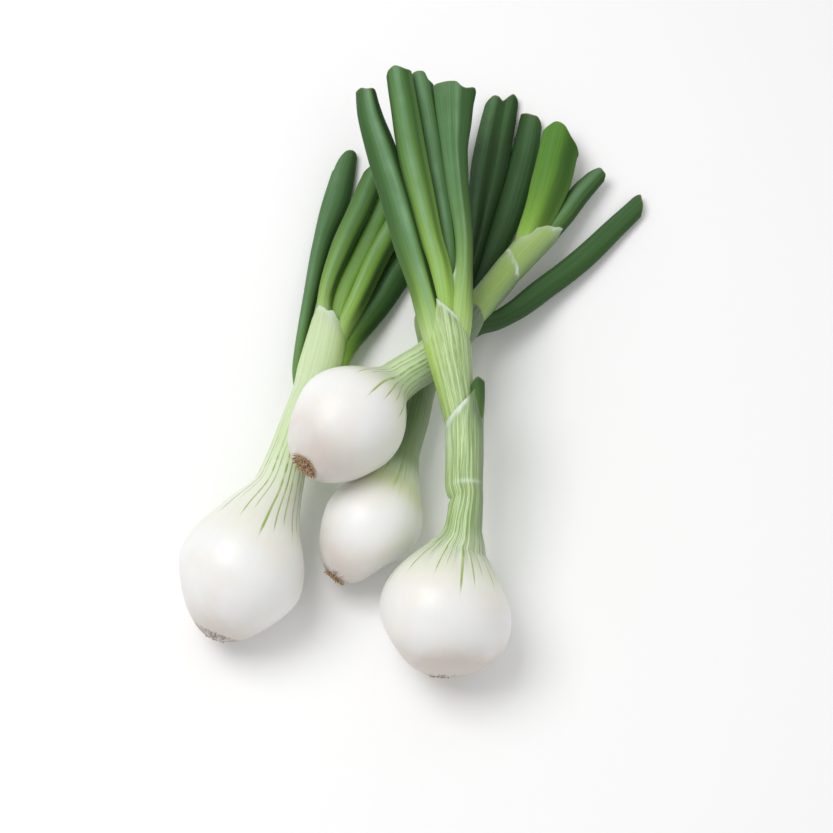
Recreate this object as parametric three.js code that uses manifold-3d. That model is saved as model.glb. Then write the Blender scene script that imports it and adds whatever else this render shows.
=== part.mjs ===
// A bunch of four spring onions lying crossed on a table.
// Millimetres, +Z up, the table at z = 0, the bulbs towards -Y and the cut leaves towards +Y.
// Each onion is a bulb whose neck runs on into the stem, a tuft of trimmed roots, and hollow leaves cut short.
import * as THREE from "three";
import { mergeVertices } from "three/addons/utils/BufferGeometryUtils.js";
import Module from "manifold-3d";

const wasm = await Module();
wasm.setup();

// ---- the four onions ----
// root, centre and radius place the bulb; plate is the radius of its root end, top how far past the centre the
// globe would close, full how square its two ends are, soft how far the shoulder is rounded into the neck.
// stem: rows of place, width and height from the neck to the mouth.
// leaves: rows of place and width from the base to the cut end; thick at the base and at the cut end,
// fold is the depth of the crease, slant the slope of the cut, round how far its corners sit back.
const ONIONS = {
  right: {
    bulb: { root: [3, -103.8, 14.2], centre: [10.6, -84.8, 22.9], radius: 24.4, plate: 4.6, top: 24 },
    full: { root: 1.78, top: 2 },
    soft: 9,
    stem: [
      [15.4, -63, 28.5, 18, 18],
      [16.4, -59, 30, 15.8, 15.4],
      [17.4, -53, 32, 13.4, 13.2],
      [18.5, -44, 34, 11.6, 11.6],
      [17.5, -39, 35, 14, 13],
      [18, -27, 37, 13.8, 13],
      [18, -15.5, 38.5, 14.2, 12.6],
      [15, -3.5, 39.5, 13.6, 12.2],
      [11.5, 17, 41, 17, 12.2],
      [9.5, 33, 41.5, 20.6, 11],
    ],
    leaves: [
      {
        rows: [[5, 27.5, 41.5, 6.5], [-4, 63.5, 42, 10.5], [-13, 102, 40, 12], [-18.5, 125.5, 37.5, 9.7], [-20.4, 139, 36, 7.8]],
        thick: [6, 4.2], fold: 1, slant: 0, round: 0.5,
      },
      {
        rows: [[11.5, 29, 42.5, 6], [6, 62, 44, 7.9], [-2, 106, 41.5, 10.8], [-7.5, 148.4, 38, 10.3]],
        thick: [6, 4.2], fold: 0.6, slant: 0, round: 2,
      },
      {
        rows: [[14, 30, 40, 3.6], [12.5, 65.5, 38.5, 4.6], [7, 109.5, 35.5, 6.2], [0.6, 149.6, 33.5, 6]],
        thick: [4, 3.8], fold: 0.3, slant: 0, round: 0.6,
      },
      {
        rows: [[17.5, 29, 41.5, 6], [18.5, 63.5, 42, 6.6], [15, 107, 40, 10.8], [15.5, 122.5, 38.5, 14.1], [15.5, 141.8, 37, 17.6]],
        thick: [6, 4], fold: 1.4, slant: -0.1, round: 1.4,
      },
    ],
    stub: {
      rows: [[22.6, -14, 38, 4], [23.7, -3.5, 39, 5.2], [23.4, 3, 39, 4.8]],
      thick: [5, 5], fold: 0.3, slant: 0, round: 1.4,
    },
  },
  left: {
    bulb: { root: [-74.2, -91.3, 12.6], centre: [-64, -69, 21.9], radius: 23.2, plate: 4.6, top: 24 },
    full: { root: 1.5, top: 2 },
    soft: 12,
    stem: [
      [-57.4, -50, 24.6, 27, 24],
      [-52.2, -37, 25.2, 19.6, 18],
      [-48.6, -20.5, 23, 15, 14.6],
      [-44.8, -4, 20, 13.8, 13.6],
      [-41, 9, 17, 14.6, 13],
      [-38, 22, 14, 17, 12.6],
      [-35.5, 35, 12.5, 16, 12],
      [-34.5, 44, 12, 13.6, 11],
    ],
    leaves: [
      {
        rows: [[-46.5, 27.5, 11, 4], [-43, 56, 8, 5.8], [-38.5, 86, 5, 7.8], [-33.5, 107, 3.2, 10.4], [-28.8, 132.6, 1.9, 7.6]],
        thick: [5, 4], fold: 0.5, slant: 0, round: 2.6,
      },
      {
        rows: [[-37, 41, 12.5, 6], [-36.5, 63, 12, 8], [-31.5, 83, 10.5, 9.2], [-18.5, 122, 7, 9]],
        thick: [5, 4.2], fold: 0.5, slant: 0.3, round: 1,
      },
      {
        rows: [[-34, 39, 9, 5], [-29, 66, 7, 7], [-15, 103, 2.6, 7.4]],
        thick: [4.6, 3.8], fold: 0.3, slant: 0, round: 0.6,
      },
      {
        rows: [[-31, 36, 12.5, 6], [-25, 54, 12, 7.4], [-11.5, 88.5, 8, 9]],
        thick: [5, 4.4], fold: 0.5, slant: 0, round: 0.8,
      },
      {
        rows: [[-33, 26, 11, 7], [-27.5, 35, 9, 9], [-20.5, 46.5, 7, 10.4], [-5, 73, 2.4, 10]],
        thick: [5.6, 4.4], fold: 0.6, slant: 0, round: 1,
      },
    ],
  },
  top: {
    bulb: { root: [-40.5, -36.5, 47.5], centre: [-26, -18, 44], radius: 21.3, plate: 4.6, top: 23 },
    full: { root: 1.65, top: 1.9 },
    soft: 9,
    stem: [
      [-13.5, -2.5, 37, 18, 18],
      [-9, 3, 34.5, 17, 16.6],
      [-4.5, 8, 32, 15, 14.8],
      [4, 17, 28.5, 15, 13.6],
      [15, 30, 25.5, 14.2, 12.6],
      [27.5, 50, 20.5, 12.2, 11.4],
      [37.5, 65.5, 17, 12.4, 10.6],
      [44.5, 76, 15, 12.4, 9.6],
    ],
    leaves: [
      {
        rows: [[41.5, 69, 16, 8], [45.5, 82, 15.5, 10.1], [55, 111, 12.5, 15], [61.2, 137.5, 9.5, 15.6]],
        thick: [6, 4.4], fold: 1.2, slant: -0.55, round: 1.6,
      },
      {
        rows: [[43.5, 69, 14, 6], [53, 82, 12.5, 8.6], [67.5, 106, 8.5, 9.5], [77, 119.4, 6, 8]],
        thick: [5.6, 4.2], fold: 0.5, slant: 0, round: 2,
      },
      {
        rows: [[20, 36, 20, 6], [29, 41, 16, 7.9], [49.5, 60, 8.5, 8.9], [67, 76.5, 5, 9.4], [92.6, 105.4, 2.2, 8.3]],
        thick: [5.4, 4.4], fold: 0.4, slant: -0.5, round: 0.8,
      },
    ],
  },
  under: {
    bulb: { root: [-28.8, -65.3, 14.5], centre: [-17.6, -48, 18.1], radius: 18.8, plate: 4, top: 19.5 },
    full: { root: 1.6, top: 1.9 },
    soft: 10,
    stem: [
      [-9.5, -30.5, 18, 21, 19],
      [-7.5, -24.5, 17, 17.4, 16],
      [-4.5, -14.5, 15.5, 14, 13.4],
      [-1.2, 0, 13.5, 13.4, 12.6],
      [2, 14, 12.5, 13.6, 11.6],
      [6, 31.5, 11.5, 16.4, 11],
      [9.6, 45.5, 10.5, 19, 10.6],
      [13, 56, 10, 20, 9.4],
    ],
    leaves: [
      {
        rows: [[15, 50, 9.5, 7], [24.5, 84.5, 8, 8.4], [28.4, 105, 6.5, 11.2], [32.2, 126, 4.5, 13.4], [37.3, 160, 1.9, 14]],
        thick: [5.4, 4], fold: 1.1, slant: 0, round: 1.6,
      },
      {
        rows: [[19, 49, 8, 6], [30, 83.5, 6, 7.8], [36.5, 101, 4.8, 10.2], [48.8, 150, 2.2, 9]],
        thick: [5, 4], fold: 0.6, slant: 0, round: 1.6,
      },
    ],
  },
};

// ---- sizes that hold for every onion ----
const GAP = 0.3; // clearance between neighbouring pieces
const TABLE = 0;
const BUNCH_CENTRE = new THREE.Vector3(3.8, 26, 0); // middle of the bunch in the measures above
const STEM_SIDES = 20;
const BULB_RINGS = 7; // on each side of the widest ring
const STEM_RINGS = 14;
const MOUTH_CLOSE = 6; // stretch over which the mouth closes around the leaves
const MOUTH_LEFT = 0.35; // share of the stem's girth left at its very end
const LEAF_SIDES = 10;
const LEAF_RINGS = 8;
const LEAF_WALL = 0.9; // thickness of a hollow leaf's wall
const HOLLOW_DEPTH = 12; // how far the hollow of a cut leaf is opened up
const CREASE_AT = 0.15; // where across the leaf the crease lies, as a share of its half width
const CREASE_WIDTH = 0.35;
const CUT_REACH = 12; // stretch over which a leaf takes up the shape of its cut
const ROOT_STUBS = 12;
const ROOT_SIDES = 5;
const ROOT_SINK = 1.5; // depth of the hollow in the bulb's end that holds the roots
const ROOT_PLATE = 0.7; // thickness of the plate the root stubs stand on
const ROOT_RADIUS = 0.55;
const ROOT_LENGTH = [1.4, 2.2]; // shortest and longest stub, above the plate
const ROOT_SPLAY = 0.5; // outward lean of the stubs at the rim, as a slope
const GOLDEN_TURN = Math.PI * (3 - Math.sqrt(5));

const SLOTS = {
  skin: new THREE.MeshStandardMaterial({ color: 0xeef0e2, roughness: 0.35, metalness: 0 }),
  leaf: new THREE.MeshStandardMaterial({ color: 0x3f7d3c, roughness: 0.45, metalness: 0 }),
  root: new THREE.MeshStandardMaterial({ color: 0xb08d68, roughness: 0.9, metalness: 0 }),
};

// ---- small helpers ----
const UPRIGHT = new THREE.Vector3(0, 1, 0);
const clamp = (x) => Math.min(1, Math.max(0, x));
const smooth = (x) => clamp(x) ** 2 * (3 - 2 * clamp(x));
const mix = ([a, b], share) => a + (b - a) * share;
const globe = (x, full) => (1 - clamp(x) ** full) ** (1 / full);
const curveThrough = (points) => new THREE.CatmullRomCurve3(points.map((p) => new THREE.Vector3(...p)));

// The larger of two sizes, with the corner between them rounded over.
function softMax(a, b, soft) {
  const overlap = Math.max(soft - Math.abs(a - b), 0);
  return Math.max(a, b) + overlap ** 2 / (4 * soft);
}

function asSolid(geometry) {
  geometry.deleteAttribute("normal");
  geometry.deleteAttribute("uv");
  const merged = mergeVertices(geometry, 1e-4);
  const vertProperties = merged.getAttribute("position").array;
  return new wasm.Manifold(new wasm.Mesh({ numProp: 3, vertProperties, triVerts: new Uint32Array(merged.index.array) }));
}

// A line through rows of [x, y, z, ...sizes]: gives place, axes and sizes s millimetres from its start.
function lineThrough(rows) {
  const places = curveThrough(rows.map((row) => row.slice(0, 3)));
  const sizes = curveThrough(rows.map(([, , , width, height = 0]) => [width, height, 0]));
  const length = places.getLength();
  const at = (s) => {
    const t = places.getUtoTmapping(0, Math.min(length, Math.max(0, s)));
    const along = places.getTangent(t);
    const side = along.clone().cross(new THREE.Vector3(0, 0, 1)).normalize();
    const beyond = s - Math.min(length, Math.max(0, s));
    const { x: width, y: height } = sizes.getPoint(t);
    return { at: places.getPoint(t).addScaledVector(along, beyond), along, side, up: side.clone().cross(along), width, height };
  };
  return { length, at };
}

// A closed solid with one ring at each s of the line; outline(x, z, here, s) places a point of the unit circle.
function lay(line, sides, stops, outline) {
  const geometry = new THREE.CylinderGeometry(1, 1, 1, sides, stops.length - 1);
  const position = geometry.getAttribute("position");
  const vertex = new THREE.Vector3();
  for (let i = 0; i < position.count; i++) {
    vertex.fromBufferAttribute(position, i);
    const s = stops[Math.round((vertex.y + 0.5) * (stops.length - 1))];
    const here = line.at(s);
    const { across, lift, forward = 0 } = outline(vertex.x, vertex.z, here, s);
    here.at.addScaledVector(here.side, across).addScaledVector(here.up, lift).addScaledVector(here.along, forward);
    position.setXYZ(i, here.at.x, here.at.y, here.at.z);
  }
  return asSolid(geometry);
}

const spaced = (count, from, to) => Array.from({ length: count + 1 }, (_, i) => from + ((to - from) * i) / count);
const largest = (made) => made.decompose().sort((a, b) => b.volume() - a.volume())[0];
const aboveTable = (made) => made.trimByPlane([0, 0, 1], TABLE);

function mesh(name, slot, made) {
  const { numProp, vertProperties, triVerts } = made.getMesh();
  const geometry = new THREE.BufferGeometry();
  const points = new THREE.InterleavedBuffer(vertProperties, numProp);
  geometry.setAttribute("position", new THREE.InterleavedBufferAttribute(points, 3, 0));
  geometry.setIndex(new THREE.BufferAttribute(triVerts, 1));
  const node = new THREE.Mesh(geometry.toNonIndexed(), SLOTS[slot]);
  node.geometry.computeVertexNormals();
  node.name = name;
  return node;
}

// ---- bulb and stem ----
// grow swells the whole piece by that much, to clear the room around it.
function bulbAndStem({ bulb, full, soft, stem }, grow = 0) {
  const rootLength = new THREE.Vector3(...bulb.centre).distanceTo(new THREE.Vector3(...bulb.root));
  const core = stem[0].slice(3);
  const line = lineThrough([[...bulb.root, ...core], [...bulb.centre, ...core], ...stem]);
  const bulbEnd = rootLength + bulb.top;
  const lower = spaced(BULB_RINGS, 0, Math.PI / 2).map((turn) => rootLength * (1 - Math.cos(turn)));
  const upper = spaced(BULB_RINGS, rootLength, bulbEnd).slice(1);
  const rest = spaced(STEM_RINGS, bulbEnd, line.length).slice(1);
  const stops = [...lower, ...upper, ...rest];
  stops[0] -= grow;
  stops[stops.length - 1] += grow;
  return lay(line, STEM_SIDES, stops, (x, z, { width, height }, s) => {
    const ahead = s - rootLength;
    const below = bulb.plate + (bulb.radius - bulb.plate) * globe(-ahead / rootLength, full.root);
    const above = bulb.radius * globe(ahead / bulb.top, full.top);
    const close = Math.max(globe((s - line.length + MOUTH_CLOSE) / MOUTH_CLOSE, 2), MOUTH_LEFT);
    const girth = (size) => (ahead < 0 ? below : softMax(above, size / 2, soft)) * close + grow;
    return { across: x * girth(width), lift: z * girth(height) };
  });
}

// ---- roots ----
// The same run of draws between 0 and 1 every time for one seed.
function draws(seed) {
  let state = seed;
  return () => {
    state = (state * 1664525 + 1013904223) % 2 ** 32;
    return state / 2 ** 32;
  };
}

// Moves what stands on the origin along +Y into the hollow in the bulb's end, pointing away from the bulb.
function inRootHollow({ root, centre }, geometry) {
  const end = new THREE.Vector3(...root);
  const outward = end.clone().sub(new THREE.Vector3(...centre)).normalize();
  const turn = new THREE.Quaternion().setFromUnitVectors(UPRIGHT, outward);
  const floor = end.addScaledVector(outward, -ROOT_SINK);
  return asSolid(geometry.applyMatrix4(new THREE.Matrix4().compose(floor, turn, new THREE.Vector3(1, 1, 1))));
}

function rootHollow({ bulb }) {
  const cup = new THREE.CylinderGeometry(bulb.plate - GAP, bulb.plate - GAP, 2 * ROOT_SINK, STEM_SIDES);
  return inRootHollow(bulb, cup.translate(0, ROOT_SINK, 0));
}

// A plate with trimmed root stubs on it, fused.
function rootTuft({ bulb }, seed) {
  const draw = draws(seed);
  const rim = bulb.plate - 2 * GAP;
  const disc = new THREE.CylinderGeometry(rim, rim, ROOT_PLATE, 3 * ROOT_SIDES);
  let tuft = inRootHollow(bulb, disc.translate(0, ROOT_PLATE / 2 + GAP, 0));
  for (let i = 0; i < ROOT_STUBS; i++) {
    const radius = (rim - 2 * ROOT_RADIUS) * Math.sqrt(i / (ROOT_STUBS - 1));
    const spot = new THREE.Vector3(radius, 0, 0).applyAxisAngle(UPRIGHT, i * GOLDEN_TURN);
    const lean = UPRIGHT.clone().addScaledVector(spot, ROOT_SPLAY / rim).normalize();
    const length = ROOT_PLATE + mix(ROOT_LENGTH, draw());
    const stub = new THREE.CylinderGeometry(ROOT_RADIUS * 0.8, ROOT_RADIUS, length, ROOT_SIDES);
    stub.translate(0, length / 2, 0);
    stub.applyQuaternion(new THREE.Quaternion().setFromUnitVectors(UPRIGHT, lean));
    tuft = tuft.add(inRootHollow(bulb, stub.translate(spot.x, GAP + ROOT_PLATE / 3, spot.z)));
  }
  return tuft;
}

// ---- leaves ----
// inset shrinks the section all round: a positive one gives the hollow, a negative one the room a leaf needs.
function leafBlade(line, leaf, stops, inset) {
  return lay(line, LEAF_SIDES, stops, (x, z, { width }, s) => {
    const share = clamp(s / line.length);
    const across = x * (width / 2 - inset);
    const crease = leaf.fold * smooth(share * 2) * Math.exp(-(((x - CREASE_AT) / CREASE_WIDTH) ** 2)) * Math.max(z, 0);
    const cut = smooth((s - line.length + CUT_REACH) / CUT_REACH);
    const forward = (leaf.slant * across - leaf.round * Math.abs(x) ** 3) * cut;
    return { across, lift: z * (mix(leaf.thick, share) / 2 - inset) - crease, forward };
  });
}

function hollowLeaf(leaf) {
  const line = lineThrough(leaf.rows);
  const { length } = line;
  const blade = leafBlade(line, leaf, spaced(LEAF_RINGS, 0, length), 0);
  const hollow = leafBlade(line, leaf, spaced(3, length - HOLLOW_DEPTH, length + GAP), LEAF_WALL);
  const room = leafBlade(line, leaf, spaced(LEAF_RINGS, -GAP, length + GAP), -GAP);
  return { whole: blade.subtract(hollow), room };
}

// ---- the bunch ----
const bunch = new THREE.Group();
bunch.position.copy(BUNCH_CENTRE).negate();
Object.entries(ONIONS).forEach(([name, onion], seed) => {
  bunch.add(mesh(`${name}_onion_bulb_and_stem`, "skin", aboveTable(bulbAndStem(onion).subtract(rootHollow(onion)))));
  bunch.add(mesh(`${name}_onion_roots`, "root", rootTuft(onion, seed)));
  let taken = bulbAndStem(onion, GAP);
  onion.leaves.forEach((leaf, i) => {
    const { whole, room } = hollowLeaf(leaf);
    bunch.add(mesh(`${name}_onion_leaf_${i + 1}`, "leaf", aboveTable(largest(whole.subtract(taken)))));
    taken = taken.add(room);
  });
  if (onion.stub) {
    bunch.add(mesh(`${name}_onion_leaf_stub`, "leaf", largest(hollowLeaf(onion.stub).whole.subtract(taken))));
  }
});

export default bunch;
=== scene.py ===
import math

import bpy
import numpy as np
from bpy.props import FloatProperty, FloatVectorProperty, IntProperty, PointerProperty
from mathutils import Matrix, Vector


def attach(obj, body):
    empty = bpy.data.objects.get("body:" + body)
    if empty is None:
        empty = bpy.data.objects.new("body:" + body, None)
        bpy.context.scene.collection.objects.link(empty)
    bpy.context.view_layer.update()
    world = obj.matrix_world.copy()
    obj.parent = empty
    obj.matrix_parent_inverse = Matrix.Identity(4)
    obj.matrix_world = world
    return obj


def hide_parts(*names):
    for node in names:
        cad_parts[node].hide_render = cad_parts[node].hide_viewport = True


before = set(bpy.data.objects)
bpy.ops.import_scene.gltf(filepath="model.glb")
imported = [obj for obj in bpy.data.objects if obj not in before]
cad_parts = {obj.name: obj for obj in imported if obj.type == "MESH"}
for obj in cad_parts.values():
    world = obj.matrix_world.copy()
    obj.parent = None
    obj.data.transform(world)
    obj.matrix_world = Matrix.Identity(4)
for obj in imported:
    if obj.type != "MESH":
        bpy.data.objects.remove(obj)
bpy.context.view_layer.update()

bl_info = {
    "name": "Spring Onion Bunch",
    "version": (1, 0, 0),
    "blender": (4, 5, 0),
    "location": "View3D > Sidebar > Spring Onions",
    "description": "Four bulb onions with trimmed roots and cut leaves, lying crossed on a table",
    "category": "Add Mesh",
}

# The onions. Sizes are millimetres, from a corner mark on the table that BUNCH_CENTRE brings to the middle. A
# turn is in degrees round a line, seen along it from the root: 0 is its right side, 90 its top, 180 its left.
#
# Leaves, from inside the stem to the cut:
#   rows: points of the centre line, each its place, the leaf's width and its height.
#   cut: how far the edge stands out beyond the end of the line, at places from -1 to 1 across the leaf.
#   creases: the place across, the depth and the width of a fold along the upper side.
#   bands: the place across, the width and the amount of waxy bloom with a painted highlight; below zero it is
#       a band of painted shade.
#   fresh: amount and reach of the yellow-green base; below zero it is painted shade at the base. foot: the
#       same for the paler foot.
#   flap: the turn, start, stop and height of a thin flap along one side.
#   tone: lighter above zero and darker below it; the darker tone is partly painted shade on leaves that lie
#       in shadow.
# Bulbs, and the sheaths that wrap a stem under the outermost one:
#   bulb: the root end, the centre, the radius, the root plate's radius and how far past the centre it closes.
#   full: how full the root end and the shoulder are, and how gently the shoulder runs out on the neck.
#   stem, or rows of a sheath: as a leaf's rows.
#   mouth: how oblique it is, the turn where it is highest and the share by which it draws in.
#   torn: height of its tearing. rim: the turn, height and spread of points that stand out of it.
#   lumps: distance past the centre of the bulb, turn, height, reach along and spread round in degrees.
#   green: how far past the centre the white ends, the green is full and the veins start.
#   streaks: contrast, lightness, and strength of the veins. calm: the share of the veins that goes towards
#   the mouth, and how far back from the end of the line they are last at their full strength.
#   film: how wide and white the thin edge at the mouth is, from 0 to 1.
#   scar: amount and reach of brown hairs round the roots. root_shade: strength of the tint of the root end,
#       partly painted shade.
#   blush: distance past the centre, reach and amount of yellow-green skin. tuft: length of the roots.
#   tints, pale: spots of brighter (below zero: darker, partly painted shade) green and of whitish skin, each
#       its
#   distance back from the end of the line, its turn, its reach, its spread in degrees and its amount.
RIGHT_LEAVES = {
    "leaf_1": {
        "rows": [
            (9.6, 6, 39.6, 6, 6), (6.9, 18, 41.7, 8.4, 7.8), (4.9, 28, 43, 9.8, 8.2),
            (2.1, 41, 43.6, 10.2, 7.6), (-3.3, 63.5, 42.2, 12.5, 6), (-12.7, 102, 40, 12.7, 4.9),
            (-18.8, 125.5, 37.5, 10.3, 4.4), (-20.7, 139, 36, 8.4, 4.2),
        ],
        "cut": [(-1, -0.6), (-0.3, -0.2), (0.3, -0.3), (0.75, -0.2), (1, -2.2)],
        "creases": [(-0.5, -0.5, 0.3), (0.1, 0.5, 0.4)],
        "bands": [(-0.2, 0.25, 0.4), (0.2, 0.3, 1), (-0.85, 0.4, -0.45), (0.8, 0.36, -1.3)], "fresh": (1, 24),
        "foot": (0.9, 10), "tone": 0.05,
    },
    "leaf_2": {
        "rows": [
            (11, 20, 41, 7, 6), (11.2, 29, 42.4, 8.2, 6.4), (8.9, 50, 43.6, 9, 6.4), (6, 62, 44, 9, 6.2),
            (-2, 106, 41.5, 11.6, 5), (-7.5, 148.4, 38, 10.6, 4.2),
        ],
        "cut": [(-1, -3.4), (-0.75, -1), (-0.3, 0), (0.2, -0.6), (0.7, -1.6), (1, -2.2)],
        "creases": [(-0.3, -0.5, 0.3), (0.55, 0.6, 0.3)],
        "bands": [(-0.2, 0.33, 0.8), (0.6, 0.25, -0.6), (-1, 0.22, -0.6)], "fresh": (1, 44),
        "foot": (0.2, 22), "tone": 0.15,
    },
    "leaf_3": {
        "rows": [
            (14.5, 18, 40, 3.4, 4), (14.2, 30, 40.4, 4.4, 4.4), (12.6, 65.5, 38.8, 6.6, 4.6),
            (7.4, 109.5, 35.8, 8.4, 4.6), (1.8, 149.6, 33.5, 8.6, 4),
        ],
        "cut": [(-1, -0.6), (-0.5, 0), (0.1, 0), (0.35, -1), (0.55, -4.6), (0.8, -6), (1, -6.8)],
        "creases": [(0.2, 0.4, 0.4)], "bands": [(-0.2, 0.45, 0.75), (0.95, 0.35, -0.9), (-1, 0.2, -0.6)],
        "fresh": (0.2, 30), "tone": 0,
    },
    "leaf_4": {
        "rows": [
            (14, 12, 40.5, 8, 7.5), (16, 24, 41.3, 9.6, 8), (17, 34, 41.8, 9.4, 7.6), (17.9, 44, 42, 7.8, 7),
            (18.3, 52, 42, 6.8, 6.4), (18.3, 63.5, 42, 7, 5.8), (15.3, 107, 40, 10.6, 4.8),
            (15.5, 122.5, 38.5, 14.1, 4.5), (15.5, 141.8, 37, 17.6, 4.2),
        ],
        "cut": [
            (-1, -1.6), (-0.8, -0.8), (-0.3, 0), (0, -0.5), (0.35, -2.6), (0.6, -3), (0.9, -2.7), (1, -4.4),
        ],
        "creases": [(0.15, -0.7, 0.22), (0.5, 0.9, 0.3), (-0.5, 0.4, 0.4)],
        "bands": [(-0.45, 0.45, 0.4), (0.15, 0.14, 0.8), (0.65, 0.4, -0.45), (1, 0.2, -0.6)],
        "fresh": (1, 30), "foot": (0.6, 20), "flap": (160, 19, 40, 1.2), "tone": 0,
    },
    "leaf_stub": {
        "rows": [
            (21, -25, 37.3, 4, 4), (22.2, -15, 40.6, 5, 5), (22.8, -6, 42.6, 5.6, 5.6),
            (22.9, 1.5, 42.9, 5.4, 5),
        ],
        "cut": [(-1, -2.6), (0, 0), (1, -1.4)], "creases": [], "bands": [(0.9, 0.5, -0.6)],
        "fresh": (0.15, 10), "tone": -0.5,
    },
}

LEFT_LEAVES = {
    "leaf_1": {
        "rows": [
            (-44, 6, 14.5, 3.6, 5), (-46, 14, 12.8, 3.8, 5.4), (-46.8, 22, 11.6, 4.2, 5.4),
            (-46.3, 30, 10.8, 4.6, 5.2), (-43, 56, 8, 5.8, 4.7), (-38.5, 86, 5, 7.8, 4.4),
            (-33.4, 107, 3.2, 11.2, 4.2), (-28.5, 132.6, 1.9, 8.4, 3.8),
        ],
        "cut": [(-1, -9), (-0.6, -3.6), (-0.1, -0.8), (0.35, 0), (0.75, -1), (1, -3)],
        "creases": [(0.35, 0.5, 0.4)], "bands": [(-0.4, 0.5, 0.5), (0.75, 0.45, -0.85)], "fresh": (0.25, 30),
        "tone": -0.05,
    },
    "leaf_2": {
        "rows": [
            (-37.5, 28, 12.6, 7, 7), (-37.1, 41.1, 12.6, 7.1, 6.4), (-37, 52.7, 12.4, 5.9, 6),
            (-35.3, 62.2, 12, 6.9, 5.4), (-29.7, 81.6, 10.5, 9.1, 5), (-23.3, 99.5, 8.6, 9.7, 4.6),
            (-16.1, 122.1, 7, 8.9, 4.2),
        ],
        "cut": [(-1, -6), (-0.7, -3.6), (-0.4, -2), (0.2, -0.4), (0.7, -0.2), (1, -1.6)],
        "creases": [(-0.1, -0.5, 0.3), (0.55, 0.5, 0.3)],
        "bands": [(-0.05, 0.3, 0.7), (0.85, 0.3, -0.9), (-0.9, 0.3, -0.2)], "fresh": (0.85, 40),
        "foot": (0.8, 12), "tone": 0.1,
    },
    "leaf_3": {
        "rows": [
            (-34.9, 25.8, 9.5, 4.8, 5), (-34, 38.8, 9.4, 5.7, 5.4), (-30.2, 59.4, 8.2, 9, 5.2),
            (-24.5, 75.3, 6.4, 10, 5), (-16, 100.3, 4, 9.6, 4.6), (-12.9, 110.3, 3.4, 9.4, 4.2),
        ],
        "cut": [(-1, -1.4), (0, 0), (1, -1.4)], "creases": [(0.1, 0.3, 0.4)],
        "bands": [(0.1, 0.4, 0.55), (-0.85, 0.35, -1)], "fresh": (0.8, 50), "foot": (0.5, 10), "tone": 0.4,
    },
    "leaf_4": {
        "rows": [
            (-34.2, 22, 12, 6, 6), (-30.7, 36, 12.4, 6.8, 6.4), (-23.6, 53.4, 12, 8.1, 5.6),
            (-16.4, 73.1, 10, 9.2, 5.2), (-10.5, 88, 8, 9.5, 4.8), (-6.4, 97.6, 7, 9.4, 4.4),
        ],
        "cut": [(-1, -1.4), (0, 0), (1, -1.4)], "creases": [(-0.5, -0.4, 0.3), (0.2, 0.4, 0.4)],
        "bands": [(-0.4, 0.36, 0.8), (0.7, 0.5, -0.95)], "fresh": (1, 54), "foot": (0.6, 10), "tone": 0.4,
    },
    "leaf_5": {
        "rows": [
            (-34.9, 11.6, 12.5, 7.1, 6.4), (-31.1, 24.7, 11.2, 8, 6.8), (-27.2, 35.5, 9, 9.6, 5.8),
            (-20.6, 47.2, 6.6, 10.8, 5.2), (-13.8, 59.1, 4.6, 11.6, 5), (-6.9, 73.8, 3, 13.3, 4.8),
            (-0.6, 84.2, 2.4, 13, 4.2),
        ],
        "cut": [(-1, -1.4), (0, 0), (1, -1.4)], "creases": [(-0.2, -0.4, 0.3), (0.4, 0.4, 0.4)],
        "bands": [(-0.25, 0.3, 0.5), (0.8, 0.5, -0.9), (-0.95, 0.25, -0.8)], "fresh": (0.9, 16), "tone": -0.3,
    },
}

TOP_LEAVES = {
    "leaf_1": {
        "rows": [
            (36, 60, 17, 7, 7), (41.5, 69, 16, 8.4, 7.4), (46.2, 82.3, 15.5, 11.5, 6.4),
            (51.1, 95.9, 14.2, 13.8, 5.6), (55.8, 110.9, 12.5, 16.5, 5), (58.8, 124.2, 11, 16.5, 4.6),
            (62, 137.3, 9.5, 17.1, 4.4),
        ],
        "cut": [
            (-1, -1.8), (-0.8, 0.6), (-0.45, 3), (-0.1, 2), (0.3, -1.4), (0.6, -4.4), (0.85, -7.6),
            (1, -10.5),
        ],
        "creases": [(-0.2, -0.5, 0.4), (0.5, 1.1, 0.25)],
        "bands": [(-0.3, 0.3, 0.12), (0.7, 0.42, -0.7), (0.3, 0.3, -0.2)], "fresh": (1, 24), "foot": (0.8, 6),
        "tone": 0.75,
    },
    "leaf_2": {
        "rows": [
            (36.6, 60.4, 15.5, 5.7, 7), (44.1, 70.9, 14.2, 7.2, 7.2), (51.8, 81.8, 12.7, 7.9, 6.2),
            (60, 94.3, 10.5, 9, 5.4), (67.1, 105.9, 8.5, 9.1, 4.8), (76.9, 119.5, 6, 8, 4.2),
        ],
        "cut": [(-1, -6), (-0.5, -1.8), (0, 0), (0.6, -0.4), (1, -3)],
        "creases": [(-0.2, -0.4, 0.4), (0.4, 0.3, 0.4)],
        "bands": [(-0.1, 0.35, 0.55), (0.85, 0.35, -0.7), (-0.9, 0.3, -0.5)], "fresh": (0.6, 18),
        "tone": -0.2,
    },
    "leaf_3": {
        "rows": [
            (19, 34.2, 22.6, 10, 9.4), (24.2, 37.7, 20.6, 8.8, 8), (30.9, 41, 17.5, 7.8, 6.8),
            (39.5, 48.5, 13.5, 9, 5.6), (50, 59.8, 8.5, 10.2, 5), (66.8, 76.5, 5, 10.2, 4.7),
            (92.8, 105.6, 2.2, 8.5, 4.4),
        ],
        "cut": [(-1, 1), (-0.6, 3.4), (-0.2, 2.2), (0.4, 0), (1, -4)], "creases": [(0, 0.25, 0.5)],
        "bands": [(-0.3, 0.5, 0.08), (0.9, 0.35, -0.4)], "fresh": (-0.6, 30), "tone": -0.35,
    },
}

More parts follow.
